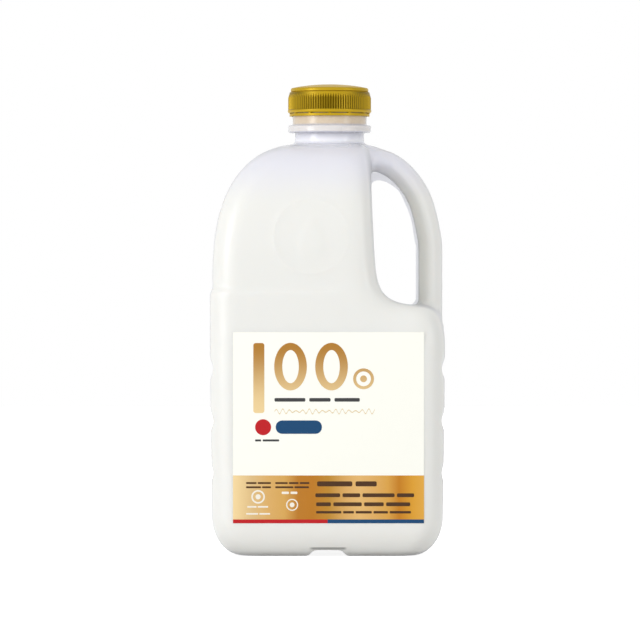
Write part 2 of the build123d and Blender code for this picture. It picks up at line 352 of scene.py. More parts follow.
@dataclass(frozen=True)
class PolyethyleneFinish:
    """Natural polyethylene: milky white over the milk, cooler over the air, with painted shade and a
    painted warm reflection of the gold cap under it.

    A span is where a smooth step starts and ends. Those named below_ring run down from the
    ring's underside, and gloss_below_top runs down from its top.
    """

    milk_level: float
    ring_top: float
    ring_height: float
    over_milk: Colour = srgb(236, 236, 232)
    over_air: Colour = srgb(231, 231, 239)
    neck: Colour = srgb(244, 244, 250)
    # Painted shadow under the support ring, which also darkens the ring's edges.
    painted_ring_shadow: Colour = srgb(208, 208, 216)
    ring: Colour = srgb(224, 220, 218)
    # Painted warm reflection and shade of the gold cap on the neck under it.
    painted_cap_reflection: Colour = srgb(219, 202, 179)
    # Painted contact shade along the bottom, where the jug stands.
    painted_contact_shade: Colour = srgb(200, 199, 195)
    # Painted shade along the top of the base's channel.
    painted_crease_shade: Colour = srgb(160, 160, 157)
    # Painted shade where the surface is seen edge on.
    painted_edge_shade: Colour = srgb(188, 190, 194)
    edge_shade_span: Span = (0.62, 0.95)
    edge_shade_share: float = 0.7
    fade: float = 13.0 * MM
    contact_shade_span: Span = (3.0 * MM, 0.6 * MM)
    neck_below_ring: Span = (6.0 * MM, 4.0 * MM)
    shade_below_ring: Span = (4.5 * MM, 0.5 * MM)
    ring_span: Span = (1.6 * MM, 1.1 * MM)
    cap_reflection_rise: float = 1.0 * MM
    gloss_below_top: Span = (14.0 * MM, 10.0 * MM)
    seam_half_width: float = 0.35 * MM
    seam_rise: float = 1.4
    channel_x: float = 0.3 * MM
    channel_half: float = 10.0 * MM
    channel_end: float = 2.5 * MM
    channel_top: float = 4.0 * MM
    crease_shade_span: Span = (0.9 * MM, 0.2 * MM)
    emblem_below_ring: float = 56.6 * MM
    emblem_x: float = -8.0 * MM
    emblem_radius: float = 18.9 * MM
    emblem_span: Span = (0.96 * MM, 0.36 * MM)
    emblem_rise: float = 0.5
    relief_height: float = 0.12 * MM

    def channel(self, finish: Finish) -> bpy.types.NodeSocket:
        """Where shade is painted along the top of the base's channel."""
        sheet = finish.sheet
        across = sheet.maths("ABSOLUTE", sheet.maths("SUBTRACT", finish.x, self.channel_x))
        rise = sheet.maths("ABSOLUTE", sheet.maths("SUBTRACT", finish.z, self.channel_top))
        along = sheet.ramp(across, self.channel_half, self.channel_half - self.channel_end)
        return sheet.maths("MULTIPLY", along, sheet.ramp(rise, *self.crease_shade_span))

    def emblem(self, finish: Finish) -> bpy.types.NodeSocket:
        """The emblem's ring on the front, to sharpen the raised one."""
        sheet = finish.sheet
        centre = (self.emblem_x, self.ring_top - self.emblem_below_ring)
        away = sheet.maths("SUBTRACT", sheet.reach(finish.x, finish.z, centre), self.emblem_radius)
        line = sheet.ramp(sheet.maths("ABSOLUTE", away), *self.emblem_span)
        return sheet.maths("MULTIPLY", line, sheet.maths("LESS_THAN", finish.y, 0.0))

    def body(self, finish: Finish) -> bpy.types.NodeSocket:
        """The plastic's colour from the base up to under the cap, with painted shade at the rim, along
        the channel and under the ring, and a painted reflection of the cap above the ring.
        """
        sheet = finish.sheet
        height = finish.z
        ring_low = self.ring_top - self.ring_height
        middle = sheet.maths("SUBTRACT", height, self.ring_top - self.ring_height / 2)
        neck_foot = [ring_low - below for below in self.neck_below_ring]
        shade = [ring_low - below for below in self.shade_below_ring]
        layers = (
            (sheet.ramp(height, self.milk_level - self.fade, self.milk_level + self.fade), self.over_air),
            # Painted contact shade near the base.
            (sheet.ramp(height, *self.contact_shade_span), self.painted_contact_shade),
            # Painted shade along the channel's roof.
            (self.channel(finish), self.painted_crease_shade),
            (sheet.ramp(height, *neck_foot), self.neck),
            # Painted shadow under the ring, running up over the ring's edges.
            (sheet.ramp(height, *shade), self.painted_ring_shadow),
            (sheet.ramp(sheet.maths("ABSOLUTE", middle), *self.ring_span), self.ring),
            # Painted reflection of the gold cap on the neck above the ring.
            (sheet.ramp(height, self.ring_top, self.ring_top + self.cap_reflection_rise), self.painted_cap_reflection),
        )
        body = self.over_milk
        for share, colour in layers:
            body = sheet.blend(share, body, colour)
        return body

    def relief(self, finish: Finish, gloss: bpy.types.NodeSocket) -> bpy.types.NodeSocket:
        """The grain, the seam and the emblem's ring, faint where the plastic is glossy."""
        sheet = finish.sheet
        seam = sheet.ramp(sheet.maths("ABSOLUTE", finish.y), self.seam_half_width, 0.0)
        seam = sheet.maths("MULTIPLY", seam, self.seam_rise)
        height = sheet.maths("ADD", finish.grain.outputs["Height"], seam)
        emblem = sheet.maths("MULTIPLY", self.emblem(finish), self.emblem_rise)
        height = sheet.maths("ADD", height, emblem)
        left_over = sheet.maths("SUBTRACT", 1.0, sheet.maths("MULTIPLY", gloss, 0.9))
        return sheet.maths("MULTIPLY", height, left_over)

    def make(self) -> bpy.types.Material:
        """Build the material, or give the one that is there already."""
        if "natural_polyethylene" in bpy.data.materials:
            return bpy.data.materials["natural_polyethylene"]
        finish = Finish("natural_polyethylene", self.over_milk, 0.36)
        sheet = finish.sheet
        for name, value in (("Grain", 900.0), ("Wave", 55.0), ("Share", 0.12)):
            finish.grain.inputs[name].default_value = value
        # Painted shade: the colour greys where the surface is seen edge on.
        edge = sheet.maths("MULTIPLY", finish.turned(*self.edge_shade_span), self.edge_shade_share)
        finish.colour(sheet.blend(edge, self.body(finish), self.painted_edge_shade))
        gloss = sheet.ramp(finish.z, *(self.ring_top - below for below in self.gloss_below_top))
        less_rough = sheet.maths("MULTIPLY", gloss, 0.1)
        rough = sheet.maths("SUBTRACT", finish.roughness(0.3, 0.42), less_rough)
        sheet.join(rough, finish.shader.inputs["Roughness"])
        finish.bump(self.relief(finish, gloss), self.relief_height)
        finish.set(IOR=1.53, Subsurface_Weight=0.35, Subsurface_Scale=0.004)
        finish.shader.inputs["Subsurface Radius"].default_value = (1.0, 0.9, 0.8)
        return finish.material


@dataclass(frozen=True)
class FlashFinish:
    """The flash, so thin that light comes through it."""

    colour: Colour = srgb(240, 241, 246)

    def make(self) -> bpy.types.Material:
        """Build the material."""
        finish = Finish("thin_polyethylene", self.colour, 0.4)
        finish.roughness(0.3, 0.4)
        finish.bump(finish.grain.outputs["Height"], 0.05 * MM)
        finish.set(IOR=1.2, Transmission_Weight=0.75)
        return finish.material


@dataclass(frozen=True)
class MilkFinish:
    """Fresh milk, with a slight cream blush."""

    colour: Colour = srgb(252, 250, 243)
    cream: Colour = srgb(250, 245, 230)

    def make(self) -> bpy.types.Material:
        """Build the material."""
        finish = Finish("fresh_milk", self.colour, 0.12)
        finish.colour(finish.sheet.blend(finish.grain.outputs["Blotch"], self.colour, self.cream))
        finish.roughness(0.08, 0.16)
        finish.set(IOR=1.35, Subsurface_Weight=0.5, Subsurface_Scale=0.003)
        return finish.material


@dataclass(frozen=True)
class GoldPlasticFinish:
    """Gold-coloured moulded plastic with a soft sheen, and painted shade between the ribs and on the
    sides seen edge on.
    """

    centre: float
    ribs_low: float
    ribs_high: float
    groove_radius: float = 20.35 * MM
    crest_radius: float = 20.95 * MM
    edge: float = 0.4 * MM
    taper: float = 0.75 * MM
    taper_height: float = 3.0 * MM
    # Where the painted shade on the cap's sides starts and ends, by how edge-on they are seen.
    side_shade_span: Span = (0.04, 0.48)
    side_shade_depth: float = 1.058
    colour: Colour = srgb(190, 156, 24)
    # Painted shade, in the grooves between the ribs and on the cap's sides.
    groove_and_side_shade: Colour = srgb(122, 99, 6)

    def make(self) -> bpy.types.Material:
        """Build the material."""
        finish = Finish("gold_cap_plastic", self.colour, 0.3)
        sheet = finish.sheet
        finish.grain.inputs["Wave"].default_value = 90.0
        away = sheet.reach(finish.x, finish.y, (self.centre, 0.0))
        taper = sheet.ramp(finish.z, self.ribs_high - self.taper_height, self.ribs_high)
        away = sheet.maths("ADD", away, sheet.maths("MULTIPLY", taper, self.taper))
        # Painted shade in the grooves: the colour runs from shade at the groove radius to full at the
        # crests.
        crest = sheet.ramp(away, self.groove_radius, self.crest_radius)
        # Painted shade on the sides of the ribbed part, where they are seen edge on.
        side_shade = sheet.maths("MULTIPLY", finish.turned(*self.side_shade_span), self.side_shade_depth)
        side_shade = sheet.maths("MULTIPLY", side_shade, sheet.maths("LESS_THAN", finish.z, self.ribs_high))
        share = sheet.maths("SUBTRACT", crest, side_shade)
        for start, end in (
            (self.ribs_high, self.ribs_high + self.edge),
            (self.ribs_low, self.ribs_low - self.edge),
        ):
            share = sheet.maths("MAXIMUM", share, sheet.ramp(finish.z, start, end))
        blotch = sheet.maths("MULTIPLY", finish.grain.outputs["Blotch"], 0.1)
        varied = sheet.maths("SUBTRACT", share, blotch)
        finish.colour(sheet.blend(sheet.maths("MAXIMUM", varied, 0.0), self.groove_and_side_shade, self.colour))
        finish.roughness(0.34, 0.44)
        finish.bump(finish.grain.outputs["Height"], 0.05 * MM)
        finish.set(IOR=1.4, Metallic=0.2)
        finish.shader.inputs["Specular Tint"].default_value = (1.0, 0.86, 0.42, 1.0)
        return finish.material


@dataclass(frozen=True)
class FilmFinish:
    """The printed film: cream, with a gold band whose foil turns light and dark along it."""

    left: float
    right: float
    band_low: float
    band_high: float
    cream: Colour = srgb(255, 255, 246)
    gold: tuple[tuple[float, Colour], ...] = (
        (0.00, srgb(248, 220, 162)),
        (0.10, srgb(224, 190, 132)),
        (0.18, srgb(222, 176, 104)),
        (0.27, srgb(216, 167, 86)),
        (0.34, srgb(188, 122, 30)),
        (0.42, srgb(188, 120, 20)),
        (0.50, srgb(190, 136, 40)),
        (0.60, srgb(222, 173, 100)),
        (0.66, srgb(230, 184, 112)),
        (0.73, srgb(224, 174, 98)),
        (0.81, srgb(218, 162, 70)),
        (0.87, srgb(196, 124, 14)),
        (0.94, srgb(220, 158, 44)),
        (1.00, srgb(228, 170, 68)),
    )

    def make(self) -> bpy.types.Material:
        """Build the material."""
        finish = Finish("printed_film", self.cream, 0.4)
        sheet = finish.sheet
        along = sheet.add("ShaderNodeMapRange")
        along.inputs["From Min"].default_value = self.left
        along.inputs["From Max"].default_value = self.right
        sheet.join(finish.x, along.inputs["Value"])
        foil = sheet.add("ShaderNodeValToRGB")
        elements = foil.color_ramp.elements
        while len(elements) < len(self.gold):
            elements.new(0.5)
        for element, (share, colour) in zip(elements, self.gold):
            element.position = share
            element.color = (*colour, 1.0)
        sheet.join(along.outputs["Result"], foil.inputs["Fac"])
        above = sheet.maths("GREATER_THAN", finish.z, self.band_high)
        below = sheet.maths("LESS_THAN", finish.z, self.band_low)
        plain = sheet.maths("MAXIMUM", above, below)
        finish.colour(sheet.blend(plain, foil.outputs["Color"], self.cream))
        finish.grain.inputs["Share"].default_value = 0.05
        finish.roughness(0.34, 0.44)
        finish.set(Specular_IOR_Level=0.3)
        finish.bump(finish.grain.outputs["Height"], 0.04 * MM)
        return finish.material


@dataclass(frozen=True)
class InkFinish:
    """Printed ink: one colour, or two that run into each other down the label."""

    name: str
    top: Colour
    bottom: Colour | None = None
    high: float = 107.0 * MM
    low: float = 72.0 * MM

    def make(self) -> bpy.types.Material:
        """Build the material."""
        finish = Finish(self.name, self.top, 0.4)
        if self.bottom:
            share = finish.sheet.ramp(finish.z, self.low, self.high)
            finish.colour(finish.sheet.blend(share, self.bottom, self.top))
        finish.roughness(0.34, 0.44)
        finish.set(Specular_IOR_Level=0.25)
        return finish.material


def step(value: float, low: float, high: float) -> float:
    """A smooth step from 0 at the low value to 1 at the high value."""
    share = min(max((value - low) / (high - low), 0.0), 1.0)
    return share * share * (3 - 2 * share)


@dataclass
class Blowing:
    """What blowing does to the jug's wall: even facets, eased creases and softer corners.

    The softer corners run beside the handle, but not round its foot, and over the handle's root,
    clear of the neck. Each span is where a smooth step starts and ends.
    """

    voxel: float = 1.17 * MM
    smoothing: int = 5
    corner_smoothing: int = 240
    beside_x: Span = (2.0 * MM, 14.0 * MM)
    beside_y: Span = (8.0 * MM, 15.0 * MM)
    beside_z: Span = (104.0 * MM, 118.0 * MM)
    foot_x: Span = (23.0 * MM, 30.0 * MM)
    foot_z: Span = (122.0 * MM, 134.0 * MM)
    root_start: Span = (12.0 * MM, 18.0 * MM)
    root_end: Span = (26.0 * MM, 34.0 * MM)
    root_z: Span = (190.0 * MM, 196.0 * MM)
    root_share: float = 0.9
    neck_clear: Span = (21.0 * MM, 33.0 * MM)

    def ease(self, piece: bpy.types.Object) -> None:
        """Ease a closed piece."""
        remesh = piece.modifiers.new("blown", "REMESH")
        remesh.mode = "VOXEL"
        remesh.voxel_size = self.voxel
        finish_modifiers(piece)
        self.mark_corners(piece)
        for name, iterations, group in (
            ("softened", self.smoothing, ""),
            ("corners", self.corner_smoothing, "corners"),
        ):
            relax = piece.modifiers.new(name, "SMOOTH")
            relax.factor = 0.5
            relax.iterations = iterations
            relax.vertex_group = group
        finish_modifiers(piece)
        bpy.ops.object.shade_smooth()

    def mark_corners(self, piece: bpy.types.Object) -> None:
        """Weigh the corners beside the handle and over its root, which are softer than the rest."""
        low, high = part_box("cap")
        neck = (low.x + high.x) / 2
        group = piece.vertex_groups.new(name="corners")
        for vert in piece.data.vertices:
            x, y, z = vert.co
            beside = step(x, *self.beside_x) * step(abs(y), *self.beside_y) * step(z, *self.beside_z)
            beside *= 1 - step(x, *self.foot_x) * step(z, *self.foot_z)
            root = step(x, *self.root_start) * (1 - step(x, *self.root_end)) * step(z, *self.root_z)
            clear_of_neck = step(math.hypot(x - neck, y), *self.neck_clear)
            weight = max(beside, self.root_share * root) * clear_of_neck
            if weight > 0:
                group.add([vert.index], weight, "REPLACE")


@dataclass
class JugSkin:
    """The jug's outside: the CAD shell's outer surface, with its creases softened as in blowing."""

    blowing: Blowing
    flash_half_thickness: float = 0.51 * MM
    flash_x: Span = (15.0 * MM, 50.0 * MM)
    flash_z: Span = (115.0 * MM, 193.0 * MM)
    flash_root: float = 3.0 * MM
    top_below_cap: float = 13.7 * MM
    rim_share: float = 0.78
    slack: float = 0.02 * MM

    def build(self, node: bpy.types.Object, finish: PolyethyleneFinish) -> list[bpy.types.Object]:
        """Make the skin and the flash.

        Args:
            node: The CAD jug.
            finish: Its finish.

        Returns:
            The dressed skin, and the flash round the handle's gap.
        """
        skin = self.outside(merged_copy(node, "jug_skin"))
        flash = self.flash(skin)
        self.blowing.ease(skin)
        skin.data.materials.append(finish.make())
        activate(flash)
        bpy.ops.object.shade_smooth_by_angle(angle=math.radians(40))
        flash.data.materials.append(FlashFinish().make())
        return [tuck(skin, "jug", "jug"), tuck(flash, "jug")]

    def on_flash(self, place: Vector) -> bool:
        """Whether a place in the shell is part of the flash."""
        return (
            abs(place.y) < self.flash_half_thickness
            and self.flash_x[0] < place.x < self.flash_x[1]
            and self.flash_z[0] < place.z < self.flash_z[1]
        )

    def flash(self, shell: bpy.types.Object) -> bpy.types.Object:
        """Take the flash round the handle's gap off a shell, as a piece of its own.

        Args:
            shell: The shell, which loses the flash and is drawn together where it stood.

        Returns:
            The flash, with its root run into the wall.
        """
        with editing(shell) as mesh:
            for face in mesh.faces:
                face.select = all(self.on_flash(vert.co) for vert in face.verts)
            bmesh.update_edit_mesh(shell.data)
            bpy.ops.mesh.separate(type="SELECTED")
        flash = next(part for part in bpy.context.selected_objects if part is not shell)
        flash.name = "jug_flash"
        with editing(shell) as mesh:
            for vert in mesh.verts:
                if vert.is_boundary:
                    vert.co.y = 0
            bmesh.update_edit_mesh(shell.data)
        places = [vert.co for vert in flash.data.vertices]
        centre = (sum(places, Vector()) / len(places)).xz
        with editing(flash) as mesh:
            for vert in mesh.verts:
                if vert.is_boundary:
                    out = (vert.co.xz - centre).normalized() * self.flash_root
                    vert.co += Vector((out.x, 0, out.y))
            bmesh.update_edit_mesh(flash.data)
        return flash

    def outside(self, shell: bpy.types.Object) -> bpy.types.Object:
        """Keep a shell's outer surface up to the neck's foot, closed and drawn in there."""
        rim = max(corner[2] for corner in shell.bound_box)
        with editing(shell) as mesh:
            for face in mesh.faces:
                face.select = all(vert.co.z > rim - self.slack for vert in face.verts)
            bmesh.update_edit_mesh(shell.data)
            bpy.ops.mesh.delete(type="FACE")
            bpy.ops.mesh.select_all(action="SELECT")
            bpy.ops.mesh.separate(type="LOOSE")
        parts = list(bpy.context.selected_objects)
        parts.sort(key=lambda part: part.dimensions.x * part.dimensions.y)
        outer = parts.pop()
        for part in parts:
            bpy.data.objects.remove(part)
        outer.name = "jug_skin"
        low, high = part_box("cap")
        cut = low.z - self.top_below_cap
        with editing(outer) as mesh:
            bpy.ops.mesh.select_all(action="SELECT")
            bpy.ops.mesh.bisect(
                plane_co=(0, 0, cut), plane_no=(0, 0, 1), use_fill=True, clear_outer=True
            )
            for vert in mesh.verts:
                vert.select = vert.co.z > cut - self.slack
            bmesh.update_edit_mesh(outer.data)
            bpy.ops.transform.resize(
                value=(self.rim_share, self.rim_share, 1),
                center_override=((low.x + high.x) / 2, 0, cut),
            )
        return outer


@dataclass
class MilkFill:
    """The milk, from the base up to its level, reaching just into the wall."""

    blowing: Blowing
    reach: float = 0.2 * MM

    def build(self, node: bpy.types.Object) -> bpy.types.Object:
        """Make the milk from its CAD solid."""
        fill = merged_copy(node, "milk_fill")
        with editing(fill, "VERT"):
            bpy.ops.mesh.select_all(action="SELECT")
            bpy.ops.transform.shrink_fatten(value=self.reach)
        self.blowing.ease(fill)
        fill.data.materials.append(MilkFinish().make())
        return tuck(fill, "milk", "milk")


@dataclass
class ScrewCap:
    """The ribbed cap with its tamper band."""

    ribs_above_band: float = 3.4 * MM
    crown_height: float = 4.1 * MM

    def build(self, node: bpy.types.Object) -> bpy.types.Object:
        """Make the cap from its CAD solid."""
        low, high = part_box("cap")
        cap = merged_copy(node, "screw_cap")
        activate(cap)
        bpy.ops.object.shade_smooth_by_angle(angle=math.radians(28))
        finish = GoldPlasticFinish(
            (low.x + high.x) / 2, low.z + self.ribs_above_band, high.z - self.crown_height
        )
        cap.data.materials.append(finish.make())
        return tuck(cap, "cap", "cap")


@dataclass
class Neck:
    """The neck over the shoulder: a plain lower part, the support ring and the finish under the cap."""

    radius: float = 17.5 * MM
    foot_reach: float = 1.4 * MM
    foot_depth: float = 4.0 * MM
    foot_height: float = 2.0 * MM
    bevel: float = 0.7 * MM
    fillet: float = 0.5 * MM
    fillet_reach: float = 0.4 * MM
    edge_round: float = 0.35 * MM
    ring_radius: float = 21.1 * MM
    ring_height: float = 3.8 * MM
    ring_below_cap: float = 4.6 * MM
    ring_hollow: float = 0.25 * MM
    finish_radius: float = 18.8 * MM
    length_below_ring: float = 10.0 * MM
    top_above_cap: float = 12.4 * MM
    segments: int = 128

    def profile(self, cap_low: float) -> list[tuple[float, float]]:
        """Radius and height from the neck's foot, inside the shoulder, to its top, inside the cap."""
        ring_top = cap_low - self.ring_below_cap
        ring_low = ring_top - self.ring_height
        foot = ring_low - self.length_below_ring
        flare_low = foot + self.foot_depth
        middle = (ring_top + ring_low) / 2
        flare = [
            (self.radius + self.foot_reach * (1 - share) ** 2, flare_low + self.foot_height * share)
            for share in (0.0, 0.2, 0.4, 0.6, 0.8, 1.0)
        ]
        return [
            (flare[0][0], foot),
            *flare,
            (self.radius, ring_low - self.fillet),
            (self.radius + self.fillet_reach, ring_low),
            (self.ring_radius - self.bevel, ring_low),
            (self.ring_radius, ring_low + self.bevel),
            (self.ring_radius - self.ring_hollow, middle),
            (self.ring_radius, ring_top - self.bevel),
            (self.ring_radius - self.bevel, ring_top),
            (self.finish_radius + self.fillet_reach, ring_top),
            (self.finish_radius, ring_top + self.fillet),
            (self.finish_radius, cap_low + self.top_above_cap),
        ]

    def build(self, finish: PolyethyleneFinish) -> bpy.types.Object:
        """Spin the neck's profile round its axis.

        Args:
            finish: The jug's finish.

        Returns:
            The dressed neck.
        """
        low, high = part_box("cap")
        centre = (low.x + high.x) / 2
        profile = self.profile(low.z)
        deselect_all()
        radius, height = profile[0]
        bpy.ops.mesh.primitive_circle_add(
            vertices=self.segments, radius=radius, fill_type="NGON", location=(centre, 0, height)
        )
        neck = bpy.context.active_object
        neck.name = "jug_neck"
        settle(neck)
        with editing(neck):
            bpy.ops.mesh.select_all(action="SELECT")
            for (radius, height), (next_radius, next_height) in zip(profile, profile[1:]):
                bpy.ops.mesh.extrude_region_move(
                    TRANSFORM_OT_translate={"value": (0, 0, next_height - height)}
                )
                share = next_radius / radius
                bpy.ops.transform.resize(
                    value=(share, share, 1), center_override=(centre, 0, next_height)
                )
            bpy.ops.mesh.select_all(action="SELECT")
            bpy.ops.mesh.normals_make_consistent(inside=False)
        rounding = neck.modifiers.new("rounding", "BEVEL")
        rounding.width = self.edge_round
        rounding.segments = 3
        rounding.angle_limit = math.radians(25)
        finish_modifiers(neck)
        clean(neck)
        bpy.ops.object.shade_smooth_by_angle(angle=math.radians(40))
        neck.data.materials.append(finish.make())
        return tuck(neck, "jug")


class Ink(Enum):
    """The label's inks, each with its colour, or its colours at the top and the bottom of the print."""

    GOLD = (srgb(178, 124, 44), srgb(240, 212, 156))
    PALE_GOLD = (srgb(226, 205, 160),)
    GREY = (srgb(62, 62, 64),)
    BROWN = (srgb(72, 44, 14),)
    RED = (srgb(192, 22, 30),)
    BLUE = (srgb(8, 68, 112),)
    WHITE = (srgb(246, 240, 226),)


Print = dict[Ink, list[bpy.types.Object]]


@dataclass
class Label:
    """The film on the front and the plain shapes printed on it. Sizes are in millimetres.

    The film and the ink lie a little behind the CAD label's face, the film further than the ink.
    """

    face: float
    ink_depth: float = 0.05
    film_sink: float = 0.06
    band_low: float = 18.6
    band_high: float = 40.6
    ink_sink: float = 0.004
    film_edge: float = 0.05
    wave_steps: int = 160

    def build(self) -> list[bpy.types.Object]:
        """Make the film and its print.

        Returns:
            The film and one piece for each ink.
        """
        low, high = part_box("label")
        film = self.film(low, high)
        groups: Print = {ink: [] for ink in Ink}
        self.edge_rule(groups, low, high)
        self.print_above(groups)
        self.print_band(groups)
        pieces = [film]
        for ink, parts in groups.items():
            if parts:
                pieces.append(self.joined(ink, parts))
        return pieces

    def film(self, low: Vector, high: Vector) -> bpy.types.Object:
        """The film, a thin plate with softened edges."""
        back = high.y
        front = low.y + self.film_sink * MM
        deselect_all()
        bpy.ops.mesh.primitive_cube_add(
            size=1.0,
            location=((low.x + high.x) / 2, (front + back) / 2, (low.z + high.z) / 2),
        )
        film = bpy.context.active_object
        film.scale = (high.x - low.x, back - front, high.z - low.z)
        film.name = "label_film"
        settle(film)
        bevel = film.modifiers.new("edge", "BEVEL")
        bevel.width = self.film_edge * MM
        bevel.segments = 2
        finish_modifiers(film)
        finish = FilmFinish(low.x, high.x, self.band_low * MM, self.band_high * MM)
        film.data.materials.append(finish.make())
        return tuck(film, "label", "label")

    def joined(self, ink: Ink, parts: list[bpy.types.Object]) -> bpy.types.Object:
        """All the shapes of one ink as one piece."""
        deselect_all()
        for part in parts:
            part.select_set(True)
        bpy.context.view_layer.objects.active = parts[0]
        if len(parts) > 1:
            bpy.ops.object.join()
        piece = bpy.context.view_layer.objects.active
        name = ink.name.lower()
        piece.name = f"print_{name}"
        piece.data.materials.append(InkFinish(f"ink_{name}", *ink.value).make())
        return tuck(piece, "label")

    def raise_ink(self, shape: bpy.types.Object) -> bpy.types.Object:
        """Give a flat shape in the XZ plane the ink's depth, and set it on the film."""
        with editing(shape):
            bpy.ops.mesh.select_all(action="SELECT")
            bpy.ops.mesh.extrude_region_move(
                TRANSFORM_OT_translate={"value": (0, self.ink_depth * MM, 0)}
            )
            bpy.ops.mesh.select_all(action="SELECT")
            bpy.ops.mesh.normals_make_consistent(inside=False)
        shape.location.y = (self.face + self.ink_sink) * MM
        settle(shape)
        return shape

    def bar(self, left: float, right: float, low: float, high: float, corner: float) -> bpy.types.Object:
        """A rounded bar, upright in the XZ plane."""
        deselect_all()
        bpy.ops.mesh.primitive_plane_add(
            size=1.0,
            location=((left + right) / 2 * MM, 0, (low + high) / 2 * MM),
            rotation=(math.pi / 2, 0, 0),
        )
        shape = bpy.context.active_object
        shape.scale = ((right - left) * MM, (high - low) * MM, 1)
        settle(shape)
        if corner > 0:
            with editing(shape, "VERT"):
                bpy.ops.mesh.select_all(action="SELECT")
                bpy.ops.mesh.bevel(offset=corner * MM, segments=5, affect="VERTICES")
        return self.raise_ink(shape)

    def ring(self, x: float, z: float, radius: float, line: float) -> bpy.types.Object:
        """A plain ring, or a disc where the line is as wide as the radius."""
        deselect_all()
        bpy.ops.mesh.primitive_circle_add(
            vertices=64,
            radius=radius * MM,
            fill_type="NGON",
            location=(x * MM, 0, z * MM),
            rotation=(math.pi / 2, 0, 0),
        )
        shape = bpy.context.active_object
        settle(shape)
        if line < radius:
            with editing(shape):
                bpy.ops.mesh.select_all(action="SELECT")
                bpy.ops.mesh.inset(thickness=line * MM)
                bpy.ops.mesh.delete(type="FACE")
        return self.raise_ink(shape)

    def dotted_ring(
        self, x: float, z: float, radius: float, line: float, dot: float
    ) -> list[bpy.types.Object]:
        """A plain ring with a round dot in its middle."""
        return [self.ring(x, z, radius, line), self.ring(x, z, dot, dot)]

    def oval(self, x: float, z: float, width: float, height: float, line: float) -> bpy.types.Object:
        """An upright oval ring."""
        loops = []
        for less in (2 * line, 0.0):
            deselect_all()
            bpy.ops.mesh.primitive_circle_add(
                vertices=72, radius=0.5, location=(x * MM, 0, z * MM), rotation=(math.pi / 2, 0, 0)
            )
            loop = bpy.context.active_object
            loop.scale = ((width - less) * MM, (height - 0.9 * less) * MM, 1)
            settle(loop)
            loops.append(loop)
        activate(loops[1])
        loops[0].select_set(True)
        bpy.ops.object.join()
        with editing(loops[1], "EDGE"):
            bpy.ops.mesh.select_all(action="SELECT")
            bpy.ops.mesh.bridge_edge_loops()
        return self.raise_ink(loops[1])

    def wave(self, left: float, right: float, z: float, rise: float, line: float) -> bpy.types.Object:
        """A thin wavy line."""
        deselect_all()
        bpy.ops.mesh.primitive_grid_add(
            x_subdivisions=self.wave_steps,
            y_subdivisions=1,
            size=1.0,
            location=((left + right) / 2 * MM, 0, z * MM),
            rotation=(math.pi / 2, 0, 0),
        )
        shape = bpy.context.active_object
        shape.scale = ((right - left) * MM, line * MM, 1)
        settle(shape)
        for vert in shape.data.vertices:
            share = vert.co.x / MM - left
            swing = math.sin(share * 1.9) * (0.65 + 0.35 * math.sin(share * 0.43))
            vert.co.z += rise * swing * MM
        return self.raise_ink(shape)

    def words(
        self, left: float, z: float, height: float, widths: Sequence[float], gap: float
    ) -> list[bpy.types.Object]:
        """A row of short bars where a line of print would be."""
        row = []
        at = left
        for width in widths:
            row.append(self.bar(at, at + width, z - height / 2, z + height / 2, height * 0.3))
            at += width + gap
        return row

    def edge_rule(self, groups: Print, low: Vector, high: Vector) -> None:
        """The rule along the bottom edge, half red and half blue.

        Args:
            groups: The shapes so far, by ink.
            low: The label's lowest corner.
            high: The label's highest corner.
        """
        left, right, bottom = low.x / MM, high.x / MM, low.z / MM
        groups[Ink.RED].append(self.bar(left, 0.0, bottom, self.band_low, 0))
        groups[Ink.BLUE].append(self.bar(0.0, right, bottom, self.band_low, 0))

    def print_above(self, groups: Print) -> None:
        """The large shapes and short rows over the band."""
        groups[Ink.GOLD].append(self.bar(-37.1, -31.6, 71.8, 106.8, 1.2))
        for x in (-18.5, 2.0):
            groups[Ink.GOLD].append(self.oval(x, 95.0, 16.3, 23.8, 4.0))
        groups[Ink.GOLD] += self.dotted_ring(18.0, 88.9, 5.2, 1.5, 1.7)
        groups[Ink.GREY] += self.words(-26.5, 78.4, 1.8, (15.4, 10.6, 12.6), 2.0)
        groups[Ink.PALE_GOLD].append(self.wave(-26.5, 23.6, 72.6, 1.3, 0.5))
        groups[Ink.RED].append(self.ring(-32.2, 64.7, 4.0, 4.0))
        groups[Ink.BLUE].append(self.bar(-25.9, -2.8, 61.4, 68.1, 3.2))
        groups[Ink.GREY] += self.words(-36.2, 58.1, 1.0, (3.0, 8.2), 0.8)

    def print_band(self, groups: Print) -> None:
        """The small marks and rows on the gold band."""
        brown, white = groups[Ink.BROWN], groups[Ink.WHITE]
        brown += self.words(-40.7, 36.8, 0.9, (5.2, 6.6), 0.6)
        brown += self.words(-40.7, 34.7, 0.9, (7.4, 4.4), 0.6)
        brown += self.words(-26.1, 36.8, 0.9, (6.2, 4.8, 4.8), 0.6)
        brown += self.words(-26.1, 34.7, 0.9, (9.0, 7.2), 0.6)
        white += self.dotted_ring(-34.7, 29.9, 3.4, 0.8, 1.3)
        white += self.words(-40.1, 24.9, 0.8, (4.6, 5.2), 0.6)
        white += self.words(-40.7, 21.4, 0.8, (6.0, 5.4), 0.6)
        white += self.words(-22.9, 31.9, 1.2, (3.6, 3.4), 0.8)
        white += self.dotted_ring(-17.7, 25.9, 3.0, 0.6, 1.2)
        brown += self.words(-5.2, 36.4, 2.5, (17.6, 10.6), 1.6)
        brown += self.words(-6.1, 30.7, 1.9, (12.4, 8.8, 16.0, 8.6), 1.2)
        brown += self.words(-5.7, 26.2, 1.9, (7.4, 14.2, 9.8, 12.0), 1.2)
        brown += self.words(-5.7, 22.2, 1.2, (12.6, 5.4, 8.0, 7.2, 10.6), 0.9)


@dataclass(frozen=True)
class Softbox:
    """A soft rectangular lamp, with its size across and down."""

    name: str
    place: tuple[float, float, float]
    size: Span
    watts: float


